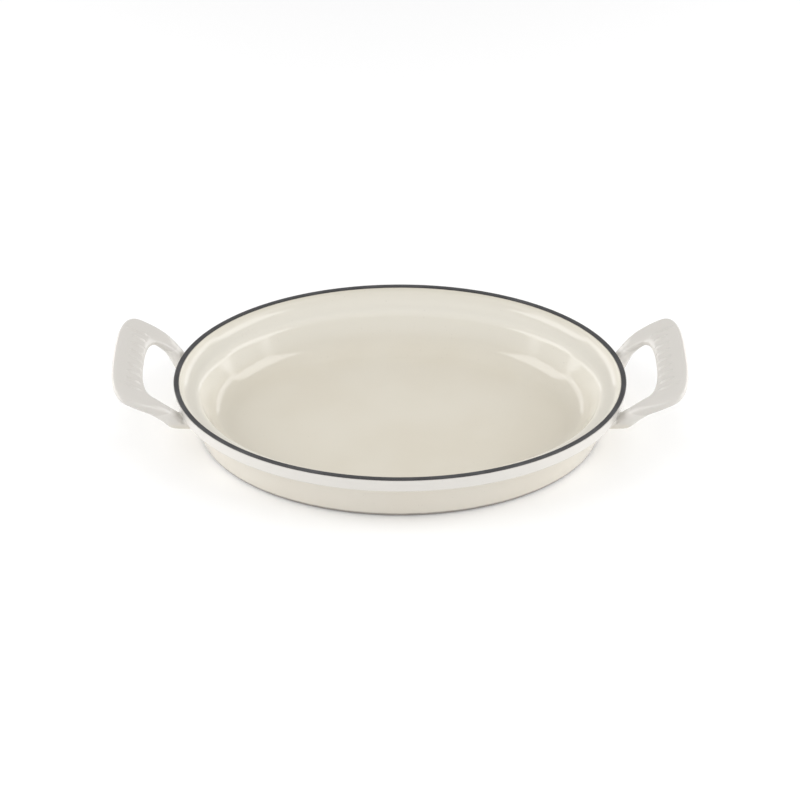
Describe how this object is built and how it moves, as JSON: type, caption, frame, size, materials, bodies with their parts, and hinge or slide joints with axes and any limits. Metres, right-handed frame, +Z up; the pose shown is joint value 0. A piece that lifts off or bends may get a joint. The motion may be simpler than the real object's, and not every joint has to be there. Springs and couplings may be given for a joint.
{
  "type": "oval casserole dish",
  "caption": "Shallow oval oven dish in enamelled cast iron, with a stepped wall, a plain rim and a raised loop handle at each end.",
  "frame": {"origin": "on the table under the middle of the dish, at the centre of its base", "axes": "+X along the length towards the right handle, +Y across the width towards the back, +Z up out of the open top"},
  "size_m": [0.3648, 0.2186, 0.0566],
  "materials": {
    "ground_coated_iron": "bare or ground-coated cast iron, dark grey, matt and slightly rough; only the foot ring shows",
    "cream_enamel": "glossy warm cream fired enamel of the inside",
    "off_white_enamel": "glossy off-white fired enamel of the outside, the underside and the handles",
    "charcoal_enamel": "matt charcoal enamel of the rim band"
  },
  "bodies": {
    "root": {"bowl_casting": "ground_coated_iron", "interior_enamel": "cream_enamel", "rim_band": "charcoal_enamel", "exterior_enamel": "off_white_enamel", "underside_enamel": "off_white_enamel", "left_handle_casting": "ground_coated_iron", "left_handle_enamel": "off_white_enamel", "right_handle_casting": "ground_coated_iron", "right_handle_enamel": "off_white_enamel"}
  },
  "joints": []
}
